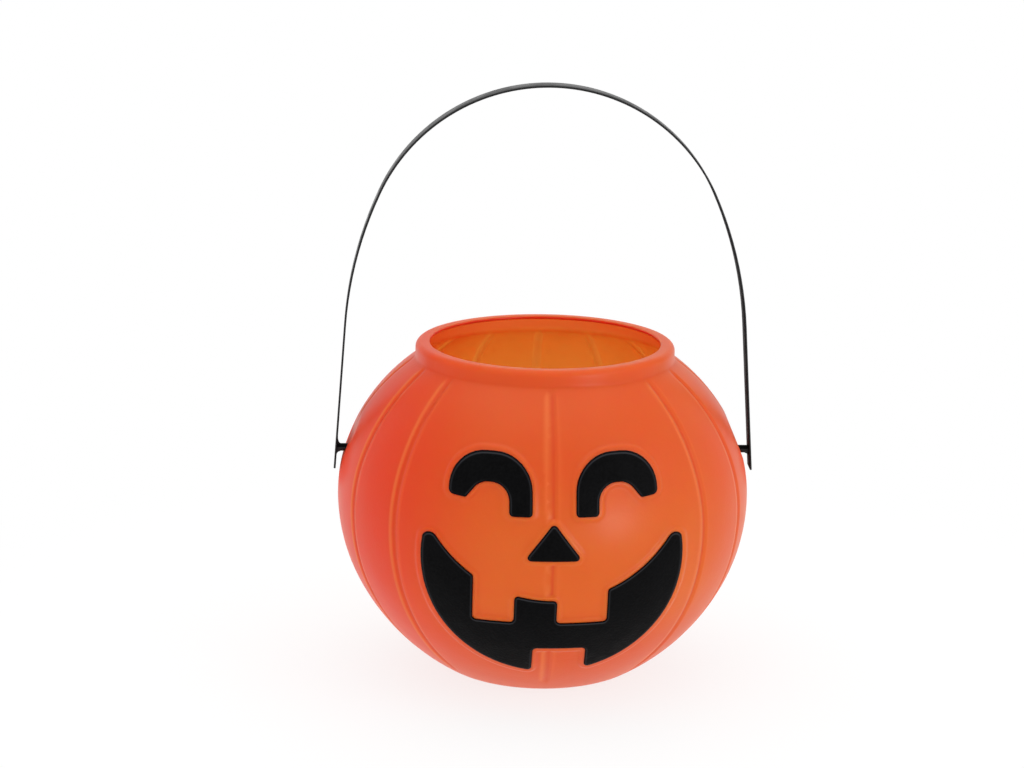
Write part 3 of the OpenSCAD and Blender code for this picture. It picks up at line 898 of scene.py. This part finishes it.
def tint(tree, factor, colour, name):
    """Blends a colour towards a named one by a mask."""
    node = tree.nodes.new("ShaderNodeMix")
    node.data_type = "RGBA"
    tree.links.new(factor, node.inputs["Factor"])
    tree.links.new(colour, node.inputs["A"])
    node.inputs["B"].default_value = (*COLOURS[name], 1)
    return node.outputs["Result"]


def seat_mask(tree):
    """A mask that is one at the two stud seats and falls to nought a little way off, for the painted
    shade there.
    """
    where = tree.nodes.new("ShaderNodeTexCoord").outputs["Object"]
    steps = [("ABSOLUTE", None), ("MULTIPLY", SEAT_STRETCH), ("DISTANCE", SEAT_PLACE)]
    for operation, value in steps:
        node = tree.nodes.new("ShaderNodeVectorMath")
        node.operation = operation
        tree.links.new(where, node.inputs[0])
        if value is not None:
            node.inputs[1].default_value = value
        where = node.outputs["Value" if operation == "DISTANCE" else "Vector"]
    return remap(tree, where, *SEAT_FADE, 1, 0)


def front_mask(tree, fade, to_low, to_high):
    """A mask along X that fades out towards the pail's back."""
    both = tree.nodes.new("ShaderNodeMath")
    both.operation = "MULTIPLY"
    tree.links.new(remap(tree, axis_value(tree, "X"), *fade, to_low, to_high), both.inputs[0])
    tree.links.new(remap(tree, axis_value(tree, "Y"), *BACK_FADE, 1, 0), both.inputs[1])
    return both.outputs["Value"]


print("colours:", len(COLOURS))

# %% [markdown]
# ## The orange plastic
#
# The pail is polyethylene, blown or moulded thin. Light goes into it and comes out again, tinted
# orange, so it gets subsurface scattering and a satin surface. The inner faces scatter further, because
# light reaches them from all sides. On top of that, light and shade are painted into the colour: a
# painted highlight on the shoulders of the grooves, painted shade in the groove beds and round the stud
# seats, and a painted highlight on the ridges inside. Painted light also makes the outside lighter low
# down and redder on its left, away from the stronger lamp, and it makes the inside brighter than the
# outside, redder on its left and deeper at the collar. The outside is also a deeper orange near the
# foot.

# %% Orange plastic
MOTTLE_SCALE, INNER_ROUGH_SCALE = 14, 60
LOW_LIGHT_FADE, FOOT_FADE = (0.070, 0.105), (0.020, 0.050)
LEFT_SHADE_FADE, RIGHT_FADE, RIGHT_TINT = (-0.068, -0.015), (0.050, 0.072), 0.4
INNER_LEFT_SHADE_FADE, COLLAR_SHADE_FADE = (-0.045, -0.010), (0.119, 0.126)
SHOULDER_HIGHLIGHT_FADE, GROOVE_SHADE_FADE, RIDGE_HIGHLIGHT_FADE = (0.1, 1), (0.6, 1), (0, 0.5)
SHOULDER_HIGHLIGHT_TINT, GROOVE_SHADE_TINT, SEAT_SHADE_TINT = 0.7, 0.7, 0.45
OUTER_ROUGH, SEAT_ROUGH, INNER_ROUGH = 0.38, 0.65, (0.33, 0.43)
OUTER_SCATTER, INNER_SCATTER = 0.004, 0.012
SCATTER_RADIUS, PAIL_LEVEL = (1.0, 0.85, 0.6), 0.25


def finish_plastic(tree, shader, colour, rough, scale):
    """The surface and the scattering that both faces of the pail share."""
    tree.links.new(colour, shader.inputs["Base Color"])
    tree.links.new(rough, shader.inputs["Roughness"])
    tree.links.new(use_group(tree, BLOWN_SKIN, SKIN_STRENGTH), shader.inputs["Normal"])
    shader.inputs["Subsurface Weight"].default_value = 1
    shader.inputs["Subsurface Radius"].default_value = SCATTER_RADIUS
    shader.inputs["Subsurface Scale"].default_value = scale
    shader.inputs["Specular IOR Level"].default_value = PAIL_LEVEL


def orange_outside():
    material, tree, shader = new_material("orange_outside")
    colour = blend_colours(tree, use_group(tree, MOTTLE, MOTTLE_SCALE), "orange", "orange_deep")
    # Painted light: the outside is lighter below a height of 70 to 105 mm.
    colour = tint(tree, remap(tree, axis_value(tree, "Z"), *LOW_LIGHT_FADE, 1, 0), colour, "orange_low_light")
    # A deeper orange near the foot.
    colour = tint(tree, remap(tree, axis_value(tree, "Z"), *FOOT_FADE, 1, 0), colour, "orange_foot")
    # Painted shade: the front's left, away from the stronger lamp, is redder.
    colour = tint(tree, front_mask(tree, LEFT_SHADE_FADE, 1, 0), colour, "orange_left_shade")
    # The far right is tinted part of the way towards the same redder colour.
    colour = tint(tree, front_mask(tree, RIGHT_FADE, 0, RIGHT_TINT), colour, "orange_left_shade")
    # Painted highlight on the shoulders of the grooves.
    shoulder_light = remap(tree, attribute(tree, "shoulder"), *SHOULDER_HIGHLIGHT_FADE, 0, SHOULDER_HIGHLIGHT_TINT)
    colour = tint(tree, shoulder_light, colour, "orange_shoulder_highlight")
    # Painted shade in the groove beds: a deeper orange along their middles.
    bed = remap(tree, attribute(tree, "groove"), *GROOVE_SHADE_FADE, 0, GROOVE_SHADE_TINT)
    colour = tint(tree, bed, colour, "orange_groove_shade")
    # Painted shade round the two stud seats: a deeper, redder orange.
    seat = seat_mask(tree)
    colour = tint(tree, remap(tree, seat, 0, 1, 0, SEAT_SHADE_TINT), colour, "orange_seat_shade")
    rough = remap(tree, seat, 0, 1, OUTER_ROUGH, SEAT_ROUGH)
    finish_plastic(tree, shader, colour, rough, OUTER_SCATTER)
    return material


def orange_inside():
    material, tree, shader = new_material("orange_inside")
    # Painted light: the inside's base colours are a brighter red than the outside's.
    colour = blend_colours(tree, use_group(tree, MOTTLE, MOTTLE_SCALE), "inside", "inside_deep")
    # Painted shade: the inside's left is redder.
    left = remap(tree, axis_value(tree, "X"), *INNER_LEFT_SHADE_FADE, 1, 0)
    colour = tint(tree, left, colour, "inside_left_shade")
    # Painted shade: the inside of the collar is a deeper orange.
    colour = tint(tree, remap(tree, axis_value(tree, "Z"), *COLLAR_SHADE_FADE), colour, "inside_collar_shade")
    # Painted highlight: the ridges inside are paler.
    ridge = remap(tree, attribute(tree, "groove"), *RIDGE_HIGHLIGHT_FADE)
    colour = tint(tree, ridge, colour, "inside_ridge_highlight")
    rough = remap(tree, use_group(tree, MOTTLE, INNER_ROUGH_SCALE), 0, 1, *INNER_ROUGH)
    finish_plastic(tree, shader, colour, rough, INNER_SCATTER)
    return material


orange_finishes = [orange_outside(), orange_inside()]
print("orange plastics:", [finish.name for finish in orange_finishes])

# %% [markdown]
# ## The blacks
#
# The face is a sprayed black with a fine grain and a painted highlight along the edge where it looks
# up or sideways. The strap is a harder black plastic, smooth outside and duller on its inner face.

# %% Black plastics
FACE_LEVEL, FACE_ROUGH = 0.035, (0.42, 0.52)
DUST_SCALE, SPECK_SCALE, FACE_ROUGH_SCALE = 90, 900, 200
SPRAY_SCALE, SPRAY_DEPTH, SPRAY_STRENGTH = 1100, 0.00012, 0.5
SCUFF_SCALE, STRAP_ROUGH_SCALE = 45, 120
MOULD_SCALE, MOULD_DEPTH, MOULD_STRENGTH = 700, 0.00008, 0.3
STRAP_OUTSIDE = ("strap_outside", 0.3, (0.3, 0.42))
STRAP_INSIDE = ("strap_inside", 0.04, (0.5, 0.6))


def face_black():
    material, tree, shader = new_material("face_black")
    colour = blend_colours(tree, use_group(tree, MOTTLE, DUST_SCALE), "face", "face_dust")
    colour = tint(tree, use_group(tree, GRAIN, SPECK_SCALE), colour, "face_speck")
    # Painted highlight along the edge, from the rim layer.
    colour = tint(tree, attribute(tree, "rim"), colour, "face_rim_highlight")
    tree.links.new(colour, shader.inputs["Base Color"])
    rough = remap(tree, use_group(tree, MOTTLE, FACE_ROUGH_SCALE), 0, 1, *FACE_ROUGH)
    tree.links.new(rough, shader.inputs["Roughness"])
    spray = bump(tree, use_group(tree, GRAIN, SPRAY_SCALE), SPRAY_DEPTH, SPRAY_STRENGTH)
    tree.links.new(spray, shader.inputs["Normal"])
    shader.inputs["Specular IOR Level"].default_value = FACE_LEVEL
    return material


def strap_black(name, level, rough):
    material, tree, shader = new_material(name)
    cloud = use_group(tree, MOTTLE, SCUFF_SCALE)
    tree.links.new(blend_colours(tree, cloud, "strap", "strap_scuff"), shader.inputs["Base Color"])
    spread = remap(tree, use_group(tree, MOTTLE, STRAP_ROUGH_SCALE), 0, 1, *rough)
    tree.links.new(spread, shader.inputs["Roughness"])
    grain = bump(tree, use_group(tree, GRAIN, MOULD_SCALE), MOULD_DEPTH, MOULD_STRENGTH)
    tree.links.new(grain, shader.inputs["Normal"])
    shader.inputs["Specular IOR Level"].default_value = level
    return material


black_finish = face_black()
strap_finishes = [strap_black(*STRAP_OUTSIDE), strap_black(*STRAP_INSIDE)]
print("black plastics:", [finish.name for finish in [black_finish, *strap_finishes]])

# %% [markdown]
# ## Dressing the pieces
#
# The pail and the strap have two materials each, one for their outer faces and one for their inner
# faces. A face is an inner one when it looks towards a point in the middle of the pail or of the arch.

# %% Materials on the pieces
PAIL_MIDDLE, ARCH_MIDDLE = (0, 0, PIVOT_H), (0, 0, 130)
LOOKS_INWARDS = 0.1


def faces_inwards(face, middle):
    return face.normal.dot((middle - face.center).normalized()) > LOOKS_INWARDS


def dress_inner_faces(piece, middle):
    for face in piece.data.polygons:
        face.material_index = int(faces_inwards(face, Vector(middle) * MM))


def dress(piece, finishes):
    for finish in finishes:
        piece.data.materials.append(finish)


dress(pail, orange_finishes)
dress_inner_faces(pail, PAIL_MIDDLE)
for piece in black_pieces:
    dress(piece, [black_finish])
dress(handle, strap_finishes)
dress_inner_faces(handle, ARCH_MIDDLE)
for piece in (pail, handle):
    inner = sum(face.material_index for face in piece.data.polygons)
    print(piece.name, "has", inner, "inner faces of", len(piece.data.polygons))

# %% [markdown]
# ## Floor and light
#
# The pail stands on a plain pale floor in soft studio light: an even white surround, one wide lamp
# overhead, a weak one left of the camera and a stronger one right of it, which makes the right side a
# little lighter. A fourth lamp, low on the right, doesn't light the plastic but only shines back from
# it, as a soft sheen under the right eye. The camera sees the surround, and the floor away from the
# pail, as plain white.

# %% Floor, lamps and surround
FLOOR_COLOUR = (0.2, 0.2, 0.2)
FLOOR_HALF, FLOOR_GLOW = 8, 0.8
FLOOR_FADE = (0.12, 0.30)
FLOOR_ROUGH, FLOOR_LEVEL = 0.9, 0.1
SURROUND = 0.82
LAMP_AIM = Vector((0, 0, 0.1))
LAMPS = [
    ("overhead", (0.0, 0.1, 1.9), 2.2, 10),
    ("left_front", (-1.3, -1.2, 1.2), 1.0, 0.5),
    ("right_front", (1.4, -0.9, 0.9), 1.0, 3.8),
    ("sheen", (1.05, -1.42, 0.16), 0.3, 7),
]
SHINE_ONLY = ("sheen",)


def floor_white():
    """White that shows the pail's shadow near it and looks plain white to the camera further off."""
    material, tree, shader = new_material("floor_white")
    shader.inputs["Base Color"].default_value = (*FLOOR_COLOUR, 1)
    shader.inputs["Roughness"].default_value = FLOOR_ROUGH
    shader.inputs["Specular IOR Level"].default_value = FLOOR_LEVEL
    shader.inputs["Emission Color"].default_value = (1, 1, 1, 1)
    shader.inputs["Emission Strength"].default_value = FLOOR_GLOW
    where = tree.nodes.new("ShaderNodeTexCoord")
    length = tree.nodes.new("ShaderNodeVectorMath")
    length.operation = "LENGTH"
    tree.links.new(where.outputs["Object"], length.inputs[0])
    away = remap(tree, length.outputs["Value"], *FLOOR_FADE)
    path, both = tree.nodes.new("ShaderNodeLightPath"), tree.nodes.new("ShaderNodeMath")
    both.operation = "MULTIPLY"
    tree.links.new(path.outputs["Is Camera Ray"], both.inputs[0])
    tree.links.new(away, both.inputs[1])
    plain, choose = tree.nodes.new("ShaderNodeEmission"), tree.nodes.new("ShaderNodeMixShader")
    tree.links.new(both.outputs["Value"], choose.inputs["Fac"])
    tree.links.new(shader.outputs["BSDF"], choose.inputs[1])
    tree.links.new(plain.outputs["Emission"], choose.inputs[2])
    tree.links.new(choose.outputs["Shader"], tree.nodes["Material Output"].inputs["Surface"])
    return material


def add_floor():
    bm = bmesh.new()
    bmesh.ops.create_grid(bm, x_segments=1, y_segments=1, size=FLOOR_HALF)
    mesh = bpy.data.meshes.new("floor")
    bm.to_mesh(mesh)
    bm.free()
    floor = bpy.data.objects.new("floor", mesh)
    bpy.context.scene.collection.objects.link(floor)
    mesh.materials.append(floor_white())


def add_lamps():
    for name, place, size, power in LAMPS:
        data = bpy.data.lights.new(name, "AREA")
        data.size = size
        data.energy = power
        lamp = bpy.data.objects.new(name, data)
        lamp.location = place
        lamp.rotation_mode = "QUATERNION"
        lamp.rotation_quaternion = (LAMP_AIM - Vector(place)).to_track_quat("-Z", "Y")
        lamp.visible_diffuse = name not in SHINE_ONLY
        bpy.context.scene.collection.objects.link(lamp)


def add_surround():
    world = bpy.data.worlds.new("surround")
    world.use_nodes = True
    tree = world.node_tree
    seen, soft = tree.nodes["Background"], tree.nodes.new("ShaderNodeBackground")
    seen.inputs["Color"].default_value = (1, 1, 1, 1)
    seen.inputs["Strength"].default_value = 1
    soft.inputs["Color"].default_value = (SURROUND, SURROUND, SURROUND, 1)
    choose, path = tree.nodes.new("ShaderNodeMixShader"), tree.nodes.new("ShaderNodeLightPath")
    tree.links.new(path.outputs["Is Camera Ray"], choose.inputs["Fac"])
    tree.links.new(soft.outputs["Background"], choose.inputs[1])
    tree.links.new(seen.outputs["Background"], choose.inputs[2])
    tree.links.new(choose.outputs["Shader"], tree.nodes["World Output"].inputs["Surface"])
    bpy.context.scene.world = world


add_floor()
add_lamps()
add_surround()
bpy.context.scene.view_settings.view_transform = "Standard"
